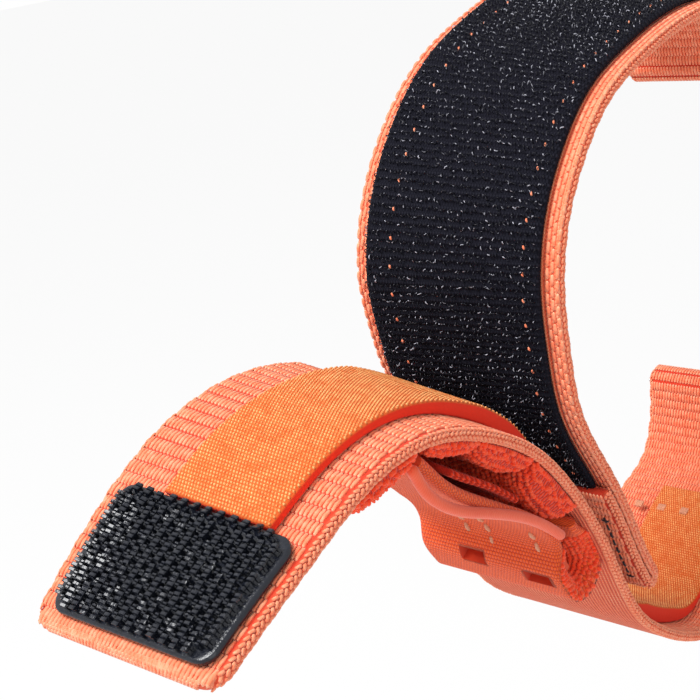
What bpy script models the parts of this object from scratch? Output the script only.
"""A hook-and-loop strap in two woven lengths, each looped round its own quick-release spring bar.

The lower length carries the hook patch, a lining tape and a padded pull loop. The upper length carries the
pile tape that the hooks catch, and ends in a folded tongue. The strap hangs open, its tongue against the
lower length, just as it would before it is wrapped round a wrist.

Frame: metres, +Z up, the origin at the centre of the lower spring bar. +Y runs along the bar from the near
edge to the far edge, and both lengths reach out towards -X.
"""

import math

import bmesh
import bpy
import numpy as np
from mathutils import Vector

# Driving sizes of the whole strap
STRAP_WIDTH = 0.0220
BAR_SPACING = 0.0460
LOOP_REACH = 0.0600
WEBBING_THICKNESS = 0.0016
LAYER_SLIT = 0.0003
SEWN_GAP = 0.0003
HINGE_GAP = 0.0003

# Spring bars
BAR_RADIUS = 0.0009
BAR_WALL = 0.0003
BAR_CLEARANCE = 0.00025
BAR_END_INSET = 0.0002
RUNNING_CLEARANCE = 0.0001
NOSE_RADIUS = 0.0004
NOSE_REACH = 0.0009
NOSE_CHAMFER = 0.0001
FLANGE_RADIUS = 0.00075
FLANGE_LENGTH = 0.00025
SEAT_GAP = 0.00005
RELEASE_TRAVEL = 0.0012
PLUNGER_LENGTH = 0.0053
LEVER_FROM_END = 0.0023
LEVER_RADIUS = 0.00025
LEVER_HEAD_RADIUS = 0.00055
LEVER_HEAD_LENGTH = 0.0006
LEVER_STAND_OFF = 0.0004
LEVER_ROOT_DEPTH = 0.0003
SPRING_LENGTH = 0.0074
SPRING_WIRE_RADIUS = 0.00011
SPRING_TURNS = 7
POINTS_PER_TURN = 9

# Loop of webbing round a bar, with its notch for the release lever
RETURN_LENGTH = 0.0120
RETURN_SETTLE_LENGTH = 0.0085
NOTCH_DEPTH = 0.0046
NOTCH_MARGIN_ANGLE = math.radians(25)
NOTCH_SWING_ANGLE = math.radians(75)

# Tongue of the upper length
TONGUE_GAP = 0.0007
HEM_LENGTH = 0.0165
PILE_THICKNESS = 0.0010
PILE_MARGIN = 0.0018
PILE_END_GAP = 0.0004

# Lining tape on the lower length's inner face
LINING_THICKNESS = 0.0007
LINING_NEAR_MARGIN = 0.0040
LINING_WIDTH = 0.0110
LINING_LIFT = 0.0018

# Hook patch
PATCH_WIDTH = 0.0190
PATCH_LENGTH = 0.0120
PATCH_THICKNESS = 0.0007
PATCH_TIP_MARGIN = 0.0009
PATCH_CORNER_RADIUS = 0.0016
HOOK_COLUMNS = 22
HOOK_ROWS = 14
HOOK_HEIGHT = 0.0009
HOOK_BEND_HEIGHT = 0.0006
HOOK_LEAN = 0.00022

# Pull loop on the lower length's outer face
PAD_HEIGHT = 0.0031
PAD_NEAR_MARGIN = 0.0006
PAD_WIDTH = 0.0196
PAD_EDGE_ROUNDING = 0.0009
BAND_THICKNESS = 0.0012
BAND_HEIGHT = 0.0071
BAND_NEAR_MARGIN = 0.0013
BAND_WIDTH = 0.0190
BAND_TUCK_LENGTH = 0.0042
SLOT_LENGTH = 0.0034
SLOT_WIDTH = 0.0037
STRIP_THICKNESS = 0.0006
STRIP_GAP = 0.0004
STRIP_SAG = 0.0004

# Far-edge sway of each length, which is twisted a little as it hangs
LOWER_SWAY = 0.0032
UPPER_SWAY = 0.0028

# Spacing of the facets
STEP = 0.0014
CAP_FACETS = 8
BAR_FACETS = 16
SAMPLES_PER_SPAN = 60
OVERRUN = 0.0010

HALF_WIDTH = STRAP_WIDTH / 2
HALF_WEBBING = WEBBING_THICKNESS / 2
TWO_LAYERS = 2 * WEBBING_THICKNESS + LAYER_SLIT
LOOP_INNER_RADIUS = BAR_RADIUS + BAR_CLEARANCE
LOOP_RADIUS = LOOP_INNER_RADIUS + HALF_WEBBING
LOOP_OUTER_RADIUS = LOOP_INNER_RADIUS + WEBBING_THICKNESS
BORE_RADIUS = BAR_RADIUS - BAR_WALL
STEM_RADIUS = BORE_RADIUS - RUNNING_CLEARANCE
LINING_STACK = SEWN_GAP + LINING_THICKNESS
TONGUE_STACK = LINING_STACK + TONGUE_GAP + TWO_LAYERS

LOWER_BAR = np.array((0.0, 0.0))
UPPER_BAR = np.array((0.0, BAR_SPACING))

# Inner face of the lower length at its near edge: shares of the loop's reach and of the bar spacing
LOWER_PATH_SHARES = (
    (-0.048, -0.098),
    (-0.090, -0.196),
    (-0.192, -0.243),
    (-0.342, -0.322),
    (-0.467, -0.398),
    (-0.587, -0.374),
    (-0.730, -0.209),
    (-0.812, -0.096),
    (-0.865, 0.028),
    (-0.910, 0.170),
    (-0.985, 0.333),
    (-1.092, 0.480),
    (-1.220, 0.600),
    (-1.353, 0.674),
    (-1.480, 0.689),
    (-1.597, 0.641),
    (-1.700, 0.565),
    (-1.793, 0.489),
)

# Inner face of the upper length as far as the tongue, in the same shares
UPPER_PATH_SHARES = (
    (-0.067, 1.091),
    (-0.143, 1.165),
    (-0.275, 1.196),
    (-0.440, 1.200),
    (-0.597, 1.183),
    (-0.725, 1.152),
    (-0.840, 1.070),
    (-0.920, 0.952),
    (-0.968, 0.793),
    (-0.978, 0.652),
    (-0.943, 0.470),
)

# Where the tongue lies along the lower length, from its root to its end, as shares of that length
TONGUE_ALONG_SHARES = (0.563, 0.505, 0.462, 0.421)

# Sway of the far edge: shares of a length's path, and of its greatest sway
LOWER_SWAY_SHARES = (
    (0.00, 0.00),
    (0.55, 0.00),
    (0.60, 0.20),
    (0.69, 1.00),
    (0.74, 1.00),
    (0.79, 0.60),
    (0.83, 0.36),
    (0.87, 0.16),
    (0.91, 0.00),
    (1.00, 0.00),
)
UPPER_SWAY_SHARES = (
    (0.00, 0.00),
    (0.12, 0.35),
    (0.32, 1.00),
    (0.45, 0.80),
    (0.62, 0.60),
    (0.72, 0.30),
    (0.80, 0.00),
    (1.00, 0.00),
)

# Where each length bends like a hinge, as a share of its path
FLAP_HINGE_SHARE = 0.462
TONGUE_HINGE_SHARE = 0.685

# Lift of the lining off the webbing: shares of the lower length's path, and of the greatest lift
LINING_START_SHARE = 0.120
LINING_LIFT_SHARES = (
    (0.12, 0.10),
    (0.22, 0.00),
    (0.29, 0.55),
    (0.35, 0.65),
    (0.39, 0.20),
    (0.42, 0.00),
    (0.56, 0.00),
    (0.60, 0.00),
    (0.62, 0.20),
    (0.65, 0.90),
    (0.69, 0.60),
    (0.74, 0.22),
    (0.79, 0.05),
    (0.87, 0.00),
    (1.00, 0.00),
)

# Pads of the pull loop: name, first and last place as shares of the lower length's path, share of the height
PAD_SHARES = (
    ("pull_pad_front", 0.7915, 0.874, 1.00),
    ("pull_pad_second", 0.7210, 0.778, 0.55),
    ("pull_pad_third", 0.6480, 0.717, 0.60),
    ("pull_pad_rear", 0.5800, 0.644, 0.46),
)
PAD_ROUNDING_POWER = 2.6
PAD_EDGE_SHARES = (0.62, 0.90, 1.00)

# The band over the pads: shares of the way from its front seam to its rear fold, and of its height
BAND_FRONT_SHARE = 0.787
BAND_REAR_SHARE = 0.508
BAND_PROFILE_SHARES = (
    (0.000, 0.560),
    (0.050, 0.720),
    (0.110, 0.860),
    (0.180, 0.955),
    (0.285, 1.000),
    (0.440, 0.950),
    (0.560, 0.890),
    (0.700, 0.740),
    (0.800, 0.625),
    (0.900, 0.680),
    (1.000, 0.732),
)
STRIP_SPAN_SHARES = (0.14, 0.50)
SLOT_PLACE_SHARES = (0.31, 0.70)

WEBBING_COLOUR = (0.900, 0.200, 0.105)
PAD_COLOUR = (0.780, 0.110, 0.050)
LINING_COLOUR = (0.930, 0.260, 0.050)
PILE_COLOUR = (0.012, 0.014, 0.022)
HOOK_COLOUR = (0.010, 0.011, 0.014)
STEEL_COLOUR = (0.560, 0.570, 0.590)


class StrapPath:
    """The inner face of one length at its near edge: a smooth curve in the XZ plane, measured along itself."""

    def __init__(self, knots, start_direction, outward, sway_shares, sway_depth):
        self.outward = outward
        self.points = smooth_through(knots, start_direction)
        steps = np.linalg.norm(np.diff(self.points, axis=0), axis=1)
        self.along = np.concatenate(((0.0,), np.cumsum(steps)))
        self.length = self.along[-1]
        slopes = np.gradient(self.points, self.along, axis=0)
        self.tangents = slopes / np.linalg.norm(slopes, axis=1)[:, None]
        shares = np.array(sway_shares)
        self.sway_places = shares[:, 0] * self.length
        self.sway_values = shares[:, 1] * sway_depth

    def locate(self, s):
        """Position and direction at distance s, straight on past either end."""
        inside = min(max(s, 0.0), self.length)
        point = np.array([np.interp(inside, self.along, self.points[:, i]) for i in (0, 1)])
        tangent = np.array([np.interp(inside, self.along, self.tangents[:, i]) for i in (0, 1)])
        tangent = tangent / np.linalg.norm(tangent)
        return point + tangent * (s - inside), tangent

    def flat_point(self, s, h, y):
        """The XZ place at distance s and height h over the inner face, at width y."""
        point, tangent = self.locate(s)
        normal = self.outward * np.array((-tangent[1], tangent[0]))
        sway = np.interp(s, self.sway_places, self.sway_values)
        return point + normal * (h + sway * (y + HALF_WIDTH) / STRAP_WIDTH)

    def flat_line(self, places, y):
        return np.array([self.flat_point(s, h, y) for s, h in places])


def smooth_through(knots, start_direction):
    """Samples of the cubic curve through the knots that leaves along start_direction and ends unbent."""
    knots = np.array(knots)
    spans = np.linalg.norm(np.diff(knots, axis=0), axis=1)
    count = len(knots)
    matrix = np.zeros((count, count))
    target = np.zeros((count, 2))
    slopes = np.diff(knots, axis=0) / spans[:, None]
    matrix[0, :2] = 2 * spans[0], spans[0]
    target[0] = 6 * (slopes[0] - np.array(start_direction))
    for i in range(1, count - 1):
        matrix[i, i - 1 : i + 2] = spans[i - 1], 2 * (spans[i - 1] + spans[i]), spans[i]
        target[i] = 6 * (slopes[i] - slopes[i - 1])
    matrix[-1, -1] = 1.0
    bends = np.linalg.solve(matrix, target)
    samples = []
    for i, span in enumerate(spans):
        for u in np.linspace(0.0, 1.0, SAMPLES_PER_SPAN, endpoint=False):
            left = 1.0 - u
            arch = bends[i] * (left**3 - left) + bends[i + 1] * (u**3 - u)
            samples.append(knots[i] * left + knots[i + 1] * u + arch * span**2 / 6)
    samples.append(knots[-1])
    return np.array(samples)


def lower_path():
    start = LOWER_BAR - np.array((LOOP_OUTER_RADIUS, 0.0))
    knots = [start] + [np.array((x * LOOP_REACH, z * BAR_SPACING)) for x, z in LOWER_PATH_SHARES]
    return StrapPath(knots, (0.0, -1.0), 1.0, LOWER_SWAY_SHARES, -LOWER_SWAY)


def upper_path(lower):
    """The upper length, whose tongue lies a named gap off the lower length's lining."""
    start = UPPER_BAR - np.array((LOOP_OUTER_RADIUS, 0.0))
    knots = [start] + [np.array((x * LOOP_REACH, z * BAR_SPACING)) for x, z in UPPER_PATH_SHARES]
    for share in TONGUE_ALONG_SHARES:
        knots.append(lower.flat_point(share * lower.length, -TONGUE_STACK, -HALF_WIDTH))
    return StrapPath(knots, (0.0, 1.0), -1.0, UPPER_SWAY_SHARES, UPPER_SWAY)


def stations(start, end, step=STEP):
    """Evenly spaced distances from start to end, about one step apart."""
    return np.linspace(start, end, max(2, math.ceil(abs(end - start) / step) + 1))


def settle(share):
    """Eases from 0 to 1 as the share goes from 0 to 1."""
    share = min(max(share, 0.0), 1.0)
    return share * share * (3 - 2 * share)


def socket_setback():
    """How far a socket's two lips stop short of the hinge line."""
    reach = HALF_WEBBING + HINGE_GAP
    return math.sqrt(reach**2 - HALF_WEBBING**2)


def cap_points(kind, point, direction, side, half):
    """Outline points round a strip's end: none on a flat end, an arc on a round one or in a socket."""
    if kind == "flat":
        return []
    if kind == "round":
        centre, radius = point, half
        angles = np.linspace(math.pi / 2, -math.pi / 2, CAP_FACETS + 1)
    else:
        radius = half + HINGE_GAP
        lip = math.asin(half / radius)
        centre = point + direction * math.sqrt(radius**2 - half**2)
        angles = np.linspace(math.pi - lip, math.pi + lip, CAP_FACETS + 1)
    return [
        centre + radius * (math.cos(a) * direction + math.sin(a) * side)
        for a in angles[1:-1]
    ]


def ribbon_outline(centre, thickness, start_kind="flat", end_kind="flat"):
    """The closed outline of a strip of even thickness round its centre line."""
    centre = np.array(centre)
    slopes = np.gradient(centre, axis=0)
    tangents = slopes / np.linalg.norm(slopes, axis=1)[:, None]
    sides = np.stack((-tangents[:, 1], tangents[:, 0]), axis=1)
    half = thickness / 2
    outline = list(centre + sides * half)
    outline += cap_points(end_kind, centre[-1], tangents[-1], sides[-1], half)
    outline += list((centre - sides * half)[::-1])
    outline += cap_points(start_kind, centre[0], -tangents[0], -sides[0], half)
    return outline


def loft(name, sections, material):
    """A closed solid through outlines of equal point counts, each a pair of its width y and its XZ points."""
    mesh = bmesh.new()
    rings = [[mesh.verts.new((x, y, z)) for x, z in outline] for y, outline in sections]
    count = len(rings[0])
    for first, second in zip(rings, rings[1:]):
        for i in range(count):
            j = (i + 1) % count
            mesh.faces.new((first[i], first[j], second[j], second[i]))
    mesh.faces.new(rings[0][::-1])
    mesh.faces.new(rings[-1])
    return finished(name, mesh, material)


def finished(name, mesh, material):
    """The mesh as an object in the scene, its faces turned outwards and its round sides smooth."""
    bmesh.ops.recalc_face_normals(mesh, faces=mesh.faces)
    data = bpy.data.meshes.new(name)
    mesh.to_mesh(data)
    mesh.free()
    data.shade_smooth()
    data.set_sharp_from_angle(angle=math.radians(35))
    data.materials.append(material)
    part = bpy.data.objects.new(name, data)
    bpy.context.scene.collection.objects.link(part)
    return part


def ribbon(name, line_at, thickness, low, high, material, kinds=("flat", "flat")):
    """A strip between widths low and high. line_at gives its centre line at a width."""
    sections = [(y, ribbon_outline(line_at(y), thickness, *kinds)) for y in (low, high)]
    return loft(name, sections, material)


def fabric(name, colour, roughness, metallic=0.0):
    made = bpy.data.materials.new(name)
    made.use_nodes = True
    surface = made.node_tree.nodes["Principled BSDF"]
    surface.inputs["Base Color"].default_value = (*colour, 1.0)
    surface.inputs["Roughness"].default_value = roughness
    surface.inputs["Metallic"].default_value = metallic
    return made


def axis_empty(name, place, parent=None):
    """An empty at a joint, which carries the pieces that turn or slide there."""
    empty = bpy.data.objects.new(name, None)
    empty.empty_display_size = STRAP_WIDTH / 4
    bpy.context.scene.collection.objects.link(empty)
    empty.location = place
    if parent:
        bpy.context.view_layer.update()
        empty.parent = parent
        empty.matrix_parent_inverse = parent.matrix_world.inverted()
    bpy.context.view_layer.update()
    return empty


def carry(empty, pieces):
    for piece in pieces:
        piece.parent = empty
        piece.matrix_parent_inverse = empty.matrix_world.inverted()


def subtract(part, cutters):
    """Cuts the closed cutters out of a part, and keeps them as hidden guides."""
    for i, cutter in enumerate(cutters):
        cutter.hide_render = True
        cutter.display_type = "WIRE"
        cut = part.modifiers.new(f"cut_{i}", "BOOLEAN")
        cut.operation = "DIFFERENCE"
        cut.solver = "EXACT"
        cut.object = cutter


def box_cutter(name, low, high, material):
    sections = [
        (y, [(low[0], low[2]), (high[0], low[2]), (high[0], high[2]), (low[0], high[2])])
        for y in (low[1], high[1])
    ]
    return loft(name, sections, material)


def turned(name, profile, material, closed=False):
    """A piece turned about its own Z axis from (height, radius) points; closed keeps its bore open."""
    mesh = bmesh.new()
    turns = [2 * math.pi * i / BAR_FACETS for i in range(BAR_FACETS)]
    rings = [
        [mesh.verts.new((r * math.cos(a), r * math.sin(a), z)) for a in turns]
        for z, r in profile
    ]
    pairs = list(zip(rings, rings[1:] + rings[:1])) if closed else list(zip(rings, rings[1:]))
    for first, second in pairs:
        for i in range(BAR_FACETS):
            j = (i + 1) % BAR_FACETS
            mesh.faces.new((first[i], first[j], second[j], second[i]))
    if not closed:
        mesh.faces.new(rings[0][::-1])
        mesh.faces.new(rings[-1])
    return finished(name, mesh, material)


def loop_line(path, y):
    """Centre line from the sewn-back end, round the bar and on to the start of the main layer."""
    line = []
    spread = 2 * LOOP_RADIUS - (WEBBING_THICKNESS + LAYER_SLIT)
    for s in stations(RETURN_LENGTH, 0.0):
        loose = spread * (1 - settle(s / RETURN_SETTLE_LENGTH))
        line.append(path.flat_point(s, WEBBING_THICKNESS + LAYER_SLIT + HALF_WEBBING + loose, y))
    start, tangent = path.locate(0.0)
    normal = path.outward * np.array((-tangent[1], tangent[0]))
    centre = start + normal * LOOP_OUTER_RADIUS
    for a in np.linspace(0.0, math.pi, 2 * CAP_FACETS + 1)[1:-1]:
        line.append(centre + LOOP_RADIUS * (math.cos(a) * normal - math.sin(a) * tangent))
    return line


def root_webbing(name, path, hinge_place, material):
    """The length from its loop round the bar to the socket where the rest of it bends."""

    def line_at(y):
        main = stations(0.0, hinge_place - socket_setback())
        line = loop_line(path, y)
        return line + [path.flat_point(s, HALF_WEBBING, y) for s in main]

    return ribbon(name, line_at, WEBBING_THICKNESS, -HALF_WIDTH, HALF_WIDTH, material, ("flat", "socket"))


def notch_cutter(name, bar, first_angle, last_angle, material):
    """A sector of a cylinder over the near edge of the loop, where the lever reaches through."""
    radius = LOOP_OUTER_RADIUS + OVERRUN
    angles = np.linspace(first_angle, last_angle, CAP_FACETS + 1)
    fan = [bar] + [bar + radius * np.array((math.cos(a), math.sin(a))) for a in angles]
    return loft(name, [(-HALF_WIDTH - OVERRUN, fan), (-HALF_WIDTH + NOTCH_DEPTH, fan)], material)


def flap_webbing(path, hinge_place, material):
    def line_at(y):
        places = stations(hinge_place, path.length - HALF_WEBBING)
        return [path.flat_point(s, HALF_WEBBING, y) for s in places]

    return ribbon(
        "flap_webbing", line_at, WEBBING_THICKNESS, -HALF_WIDTH, HALF_WIDTH, material, ("round", "round")
    )


def tongue_webbing(path, hinge_place, material):
    """The end of the upper length, folded back over its outer face in a hem."""
    outer_height = WEBBING_THICKNESS + LAYER_SLIT + HALF_WEBBING
    fold_radius = (WEBBING_THICKNESS + LAYER_SLIT) / 2

    def line_at(y):
        hem = stations(path.length - HEM_LENGTH, path.length)
        line = [path.flat_point(s, outer_height, y) for s in hem]
        for a in np.linspace(0.0, math.pi, CAP_FACETS + 1)[1:-1]:
            along = path.length + fold_radius * math.sin(a)
            height = HALF_WEBBING + fold_radius * (1 + math.cos(a))
            line.append(path.flat_point(along, height, y))
        main = stations(path.length, hinge_place)
        return line + [path.flat_point(s, HALF_WEBBING, y) for s in main]

    return ribbon(
        "tongue_webbing", line_at, WEBBING_THICKNESS, -HALF_WIDTH, HALF_WIDTH, material, ("flat", "round")
    )


def pile_tape(name, path, start, end, material):
    height = WEBBING_THICKNESS + SEWN_GAP + PILE_THICKNESS / 2

    def line_at(y):
        return [path.flat_point(s, height, y) for s in stations(start, end)]

    low = -HALF_WIDTH + PILE_MARGIN
    return ribbon(name, line_at, PILE_THICKNESS, low, HALF_WIDTH - PILE_MARGIN, material)


def lining_tape(name, path, start, end, material):
    """A run of lining on the inner face, which lifts away where it hangs slack."""
    places = np.array(LINING_LIFT_SHARES)

    def line_at(y):
        line = []
        for s in stations(start, end):
            lift = LINING_LIFT * np.interp(s / path.length, places[:, 0], places[:, 1])
            line.append(path.flat_point(s, -(SEWN_GAP + LINING_THICKNESS / 2 + lift), y))
        return line

    low = -HALF_WIDTH + LINING_NEAR_MARGIN
    return ribbon(name, line_at, LINING_THICKNESS, low, low + LINING_WIDTH, material)


def cell_edges(count, total, stub):
    """Places of the lines either side of each hook's foot, over a run of the given total."""
    pitch = total / count
    edges = [0.0]
    for i in range(count):
        middle = (i + 0.5) * pitch
        edges += [middle - stub / 2, middle + stub / 2]
    return edges + [total]


def hook_patch(path, material):
    """The hook tape: a thin backing with a stalk on each cell of its grid, bent over towards its tip."""
    rise = PATCH_WIDTH / HOOK_COLUMNS / 3
    first = path.length - PATCH_TIP_MARGIN - PATCH_LENGTH
    along = cell_edges(HOOK_ROWS, PATCH_LENGTH, rise)
    across = cell_edges(HOOK_COLUMNS, PATCH_WIDTH, rise)
    low = SEWN_GAP
    high = SEWN_GAP + PATCH_THICKNESS

    def narrowing(t):
        """How much the corner's rounding takes off each side, at distance t along the patch."""
        inset = PATCH_CORNER_RADIUS - min(t, PATCH_LENGTH - t)
        if inset <= 0:
            return 0.0
        return PATCH_CORNER_RADIUS - math.sqrt(PATCH_CORNER_RADIUS**2 - inset**2)

    def corner(t, w, height, lean=0.0):
        side = 1 - 2 * narrowing(t) / PATCH_WIDTH
        y = (w - PATCH_WIDTH / 2) * side
        x, z = path.flat_point(first + t + lean, -height, y)
        return mesh.verts.new((x, y, z))

    mesh = bmesh.new()
    top = [[corner(t, w, high) for w in across] for t in along]
    bottom = [[corner(t, w, low) for w in (0.0, PATCH_WIDTH)] for t in along]
    for i in range(len(along) - 1):
        mesh.faces.new((bottom[i][0], bottom[i][1], bottom[i + 1][1], bottom[i + 1][0]))
        mesh.faces.new((bottom[i][0], bottom[i + 1][0], top[i + 1][0], top[i][0]))
        mesh.faces.new((bottom[i][1], top[i][-1], top[i + 1][-1], bottom[i + 1][1]))
        for j in range(len(across) - 1):
            foot = (top[i][j], top[i][j + 1], top[i + 1][j + 1], top[i + 1][j])
            if i % 2 == 0 or j % 2 == 0:
                mesh.faces.new(foot)
                continue
            places = [(along[i], across[j]), (along[i], across[j + 1])]
            places += [(along[i + 1], across[j + 1]), (along[i + 1], across[j])]
            bend = [corner(t, w, high + HOOK_BEND_HEIGHT, HOOK_LEAN / 3) for t, w in places]
            tip = [corner(t, w, high + HOOK_HEIGHT, HOOK_LEAN) for t, w in places]
            for lower_ring, upper_ring in ((foot, bend), (bend, tip)):
                for k in range(4):
                    m = (k + 1) % 4
                    mesh.faces.new((lower_ring[k], lower_ring[m], upper_ring[m], upper_ring[k]))
            mesh.faces.new(tip)
    mesh.faces.new([bottom[0][0]] + top[0] + [bottom[0][1]])
    mesh.faces.new([bottom[-1][1]] + top[-1][::-1] + [bottom[-1][0]])
    return finished("hook_patch", mesh, material)


def pull_pad(name, path, start_share, end_share, height_share, material):
    """A domed pad on the outer face, rounded along its length and at both edges."""
    start = start_share * path.length
    end = end_share * path.length
    base = WEBBING_THICKNESS + SEWN_GAP
    low = -HALF_WIDTH + PAD_NEAR_MARGIN
    high = low + PAD_WIDTH

    def outline(y, share):
        places = []
        for a in np.linspace(0.0, math.pi, 3 * CAP_FACETS + 1):
            lean = math.cos(a)
            bulge = (1 - abs(lean) ** PAD_ROUNDING_POWER) ** (1 / PAD_ROUNDING_POWER)
            s = (start + end) / 2 - lean * (end - start) / 2
            places.append((s, base + PAD_HEIGHT * height_share * share * bulge))
        for s in stations(end, start)[1:-1]:
            places.append((s, base))
        return path.flat_line(places, y)

    insets = np.linspace(0.0, PAD_EDGE_ROUNDING, len(PAD_EDGE_SHARES))
    near = [(low + inset, share) for inset, share in zip(insets, PAD_EDGE_SHARES)]
    far = [(high - inset, share) for inset, share in zip(insets, PAD_EDGE_SHARES)][::-1]
    return loft(name, [(y, outline(y, share)) for y, share in near + far], material)


def band_places(path, share_from, share_to, depth):
    """Places along the band, given as shares of its run, at a depth below its outer face."""
    front = BAND_FRONT_SHARE * path.length
    rear = BAND_REAR_SHARE * path.length
    knots = np.array([(along * (rear - front), up * BAND_HEIGHT) for along, up in BAND_PROFILE_SHARES])
    smooth = smooth_through(knots, (knots[1] - knots[0]) / np.linalg.norm(knots[1] - knots[0]))
    run = abs(rear - front)
    places = []
    for s in stations(share_from * run, share_to * run):
        height = np.interp(s, np.abs(smooth[:, 0]), smooth[:, 1])
        places.append((front - s, height - depth))
    return places


def pull_band(path, material, cutter_material):
    """The flat band over the pads. Its rear end folds back under itself, with two slots through the fold."""
    half = BAND_THICKNESS / 2
    tucked = WEBBING_THICKNESS + SEWN_GAP + half

    def line_at(y):
        places = band_places(path, 0.0, 1.0, half)
        rear, outer = places[-1]
        radius = (outer - tucked) / 2
        for a in np.linspace(0.0, math.pi, CAP_FACETS + 1)[1:-1]:
            places.append((rear - radius * math.sin(a), tucked + radius * (1 + math.cos(a))))
        places += [(s, tucked) for s in stations(rear, rear + BAND_TUCK_LENGTH)]
        return path.flat_line(places, y)

    low = -HALF_WIDTH + BAND_NEAR_MARGIN
    band = ribbon("pull_band", line_at, BAND_THICKNESS, low, low + BAND_WIDTH, material, ("flat", "flat"))
    rear = BAND_REAR_SHARE * path.length
    cutters = []
    for i, share in enumerate(SLOT_PLACE_SHARES):
        middle = low + share * BAND_WIDTH
        sections = []
        for y in (middle - SLOT_WIDTH / 2, middle + SLOT_WIDTH / 2):
            corners = (
                (rear - SLOT_LENGTH, WEBBING_THICKNESS),
                (rear + SLOT_LENGTH / 2, WEBBING_THICKNESS),
                (rear + SLOT_LENGTH / 2, BAND_HEIGHT),
                (rear - SLOT_LENGTH, BAND_HEIGHT),
            )
            sections.append((y, path.flat_line(corners, y)))
        cutters.append(loft(f"slot_cutter_{i}", sections, cutter_material))
    subtract(band, cutters)
    return band


def pull_strip(path, material):
    """The ribbed strip that hangs just under the band's arch."""
    depth = BAND_THICKNESS + STRIP_GAP + STRIP_THICKNESS / 2

    def line_at(y):
        places = band_places(path, *STRIP_SPAN_SHARES, depth)
        count = len(places) - 1
        return path.flat_line(
            [(s, h - STRIP_SAG * math.sin(math.pi * i / count)) for i, (s, h) in enumerate(places)], y
        )

    low = -HALF_WIDTH + BAND_NEAR_MARGIN
    return ribbon("pull_loop_lining", line_at, STRIP_THICKNESS, low, low + BAND_WIDTH, material)


def spring(name, place, length, material):
    """A coil spring along Y, one unbroken wire, with the least gap between its turns printed."""
    radius = BORE_RADIUS - RUNNING_CLEARANCE - SPRING_WIRE_RADIUS
    curve = bpy.data.curves.new(name, "CURVE")
    curve.dimensions = "3D"
    curve.bevel_depth = SPRING_WIRE_RADIUS
    curve.bevel_resolution = 1
    curve.use_fill_caps = True
    line = curve.splines.new("POLY")
    count = SPRING_TURNS * POINTS_PER_TURN
    run = length - 2 * SPRING_WIRE_RADIUS
    line.points.add(count)
    points = []
    for i, point in enumerate(line.points):
        turn = 2 * math.pi * i / POINTS_PER_TURN
        along = SPRING_WIRE_RADIUS + run * i / count
        here = (radius * math.cos(turn), along, radius * math.sin(turn))
        points.append(here)
        point.co = (*here, 1.0)
    points = np.array(points)
    apart = [
        np.linalg.norm(points[i + POINTS_PER_TURN - 1 :] - points[i], axis=1).min()
        for i in range(count - POINTS_PER_TURN)
    ]
    print(f"{name}: least gap between turns {1000 * (min(apart) - 2 * SPRING_WIRE_RADIUS):.2f} mm")
    coil = bpy.data.objects.new(name, curve)
    coil.location = place
    curve.materials.append(material)
    bpy.context.scene.collection.objects.link(coil)
    return coil


def along_bar(piece, bar, y):
    """Lays a turned piece along +Y, its own zero at width y on the bar's axis."""
    piece.rotation_euler = (-math.pi / 2, 0.0, 0.0)
    piece.location = (bar[0], y, bar[1])


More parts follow.
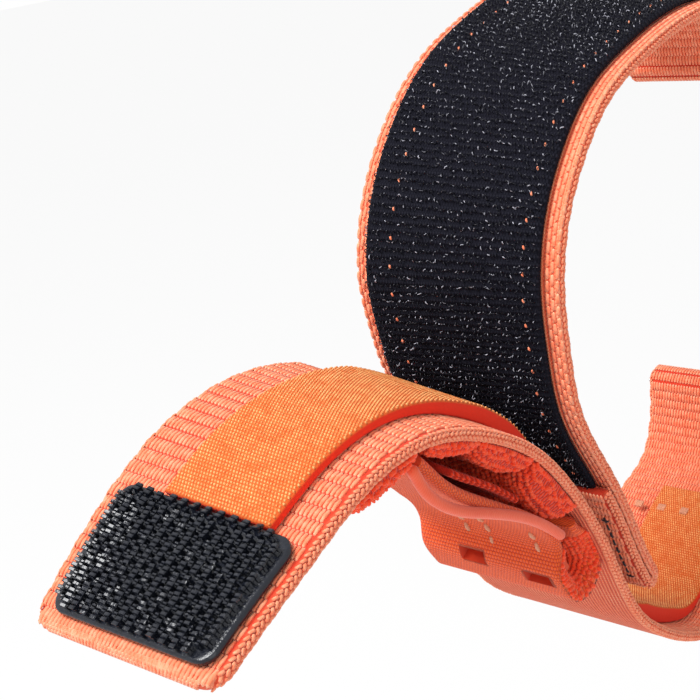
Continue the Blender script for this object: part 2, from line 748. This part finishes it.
def spring_bar(side, bar, steel, cutter_material):
    """One quick-release bar: a slotted tube, a fixed tip, a sprung tip and the lever that draws it in."""
    tube_half = HALF_WIDTH - BAR_END_INSET
    tip_end = HALF_WIDTH + NOSE_REACH
    tube = turned(
        f"{side}_bar_tube",
        (
            (0.0, BORE_RADIUS),
            (0.0, BAR_RADIUS),
            (2 * tube_half, BAR_RADIUS),
            (2 * tube_half, BORE_RADIUS),
        ),
        steel,
        closed=True,
    )
    along_bar(tube, bar, -tube_half)

    lever_y = -tip_end + LEVER_FROM_END + NOSE_REACH
    slot_half = LEVER_RADIUS + RUNNING_CLEARANCE
    low = (bar[0] - BAR_RADIUS - OVERRUN, lever_y - slot_half, bar[1] - slot_half)
    high = (bar[0], lever_y + RELEASE_TRAVEL + slot_half, bar[1] + slot_half)
    subtract(tube, [box_cutter(f"{side}_slot_cutter", low, high, cutter_material)])

    fixed_start = -tip_end + NOSE_REACH + PLUNGER_LENGTH + SPRING_LENGTH + 2 * SEAT_GAP
    fixed = turned(
        f"{side}_bar_fixed_tip",
        (
            (fixed_start, STEM_RADIUS),
            (tube_half + SEAT_GAP, STEM_RADIUS),
            (tube_half + SEAT_GAP, FLANGE_RADIUS),
            (tube_half + SEAT_GAP + FLANGE_LENGTH, FLANGE_RADIUS),
            (tube_half + SEAT_GAP + FLANGE_LENGTH, NOSE_RADIUS),
            (tip_end - NOSE_CHAMFER, NOSE_RADIUS),
            (tip_end, NOSE_RADIUS - NOSE_CHAMFER),
        ),
        steel,
    )
    along_bar(fixed, bar, 0.0)

    shoulder = -tip_end + NOSE_REACH
    moving = turned(
        f"{side}_bar_moving_tip",
        (
            (-tip_end, NOSE_RADIUS - NOSE_CHAMFER),
            (-tip_end + NOSE_CHAMFER, NOSE_RADIUS),
            (shoulder, NOSE_RADIUS),
            (shoulder, STEM_RADIUS),
            (shoulder + PLUNGER_LENGTH, STEM_RADIUS),
        ),
        steel,
    )
    along_bar(moving, bar, 0.0)
    socket = turned(
        f"{side}_lever_socket",
        (
            (STEM_RADIUS - LEVER_ROOT_DEPTH - SEAT_GAP, LEVER_RADIUS + SEAT_GAP),
            (STEM_RADIUS + OVERRUN, LEVER_RADIUS + SEAT_GAP),
        ),
        cutter_material,
    )
    lever = turned(
        f"{side}_bar_lever",
        (
            (STEM_RADIUS - LEVER_ROOT_DEPTH, LEVER_RADIUS),
            (LOOP_OUTER_RADIUS + LEVER_STAND_OFF, LEVER_RADIUS),
            (LOOP_OUTER_RADIUS + LEVER_STAND_OFF, LEVER_HEAD_RADIUS),
            (LOOP_OUTER_RADIUS + LEVER_STAND_OFF + LEVER_HEAD_LENGTH, LEVER_HEAD_RADIUS),
        ),
        steel,
    )
    for piece in (socket, lever):
        piece.rotation_euler = (0.0, -math.pi / 2, 0.0)
        piece.location = (bar[0], lever_y, bar[1])
    subtract(moving, [socket])
    coil_start = shoulder + PLUNGER_LENGTH + SEAT_GAP
    coil = spring(f"{side}_bar_spring", (bar[0], coil_start, bar[1]), SPRING_LENGTH, steel)
    return [tube, fixed, coil], [moving, lever]


def clear_scene():
    for item in list(bpy.data.objects):
        bpy.data.objects.remove(item, do_unlink=True)


def hinge_line(path, place):
    """The two ends of a fabric hinge, in the middle of the webbing's thickness."""
    ends = []
    for y in (-HALF_WIDTH, HALF_WIDTH):
        x, z = path.flat_point(place, HALF_WEBBING, y)
        ends.append(Vector((x, y, z)))
    return ends


def main():
    clear_scene()
    webbing = fabric("webbing", WEBBING_COLOUR, 0.75)
    padding = fabric("padding", PAD_COLOUR, 0.85)
    lining = fabric("lining", LINING_COLOUR, 0.70)
    pile = fabric("pile", PILE_COLOUR, 0.80)
    hooks = fabric("hooks", HOOK_COLOUR, 0.35)
    steel = fabric("steel", STEEL_COLOUR, 0.25, 1.0)

    lower = lower_path()
    upper = upper_path(lower)
    flap_place = FLAP_HINGE_SHARE * lower.length
    tongue_place = TONGUE_HINGE_SHARE * upper.length
    tape_setback = socket_setback() / 2

    bars = axis_empty("spring_bars", (0.0, 0.0, 0.0))
    still, sliding = spring_bar("lower", LOWER_BAR, steel, steel)
    carry(bars, still)
    carry(axis_empty("lower_release", (0.0, 0.0, 0.0), bars), sliding)
    still, sliding = spring_bar("upper", UPPER_BAR, steel, steel)
    carry(bars, still)
    carry(axis_empty("upper_release", (0.0, 0.0, BAR_SPACING), bars), sliding)

    lower_swing = axis_empty("lower_swing", (0.0, 0.0, 0.0), bars)
    near, far = hinge_line(lower, flap_place)
    print("flap hinge", tuple(near), tuple((far - near).normalized()))
    flap_hinge = axis_empty("flap_hinge", near, lower_swing)
    lower_webbing = root_webbing("lower_webbing", lower, flap_place, webbing)
    notch = notch_cutter(
        "lower_notch",
        LOWER_BAR,
        math.pi - NOTCH_SWING_ANGLE,
        math.pi + NOTCH_MARGIN_ANGLE,
        webbing,
    )
    subtract(lower_webbing, [notch])
    lining_start = LINING_START_SHARE * lower.length
    lining_end = lower.length - PATCH_TIP_MARGIN - PATCH_LENGTH - SEWN_GAP
    lower_lining = lining_tape("lining_tape_lower", lower, lining_start, flap_place - tape_setback, lining)
    flap_lining = lining_tape("lining_tape_flap", lower, flap_place + tape_setback, lining_end, lining)
    pads = [pull_pad(name, lower, start, end, high, padding) for name, start, end, high in PAD_SHARES]
    carry(lower_swing, [lower_webbing, lower_lining])
    carry(
        flap_hinge,
        [
            flap_webbing(lower, flap_place, webbing),
            flap_lining,
            hook_patch(lower, hooks),
            pull_band(lower, padding, padding),
            pull_strip(lower, padding),
            *pads,
        ],
    )

    upper_swing = axis_empty("upper_swing", (0.0, 0.0, BAR_SPACING), bars)
    near, far = hinge_line(upper, tongue_place)
    print("tongue hinge", tuple(near), tuple((far - near).normalized()))
    tongue_hinge = axis_empty("tongue_hinge", near, upper_swing)
    upper_webbing = root_webbing("upper_webbing", upper, tongue_place, webbing)
    notch = notch_cutter(
        "upper_notch",
        UPPER_BAR,
        math.pi - NOTCH_MARGIN_ANGLE,
        math.pi + NOTCH_SWING_ANGLE,
        webbing,
    )
    subtract(upper_webbing, [notch])
    pile_start = RETURN_LENGTH + PILE_END_GAP
    pile_end = upper.length - HEM_LENGTH - PILE_END_GAP
    carry(upper_swing, [upper_webbing])
    carry(upper_swing, [pile_tape("pile_tape_upper", upper, pile_start, tongue_place - tape_setback, pile)])
    carry(tongue_hinge, [tongue_webbing(upper, tongue_place, webbing)])
    carry(tongue_hinge, [pile_tape("pile_tape_tongue", upper, tongue_place + tape_setback, pile_end, pile)])
    print("lengths", lower.length, upper.length)


main()
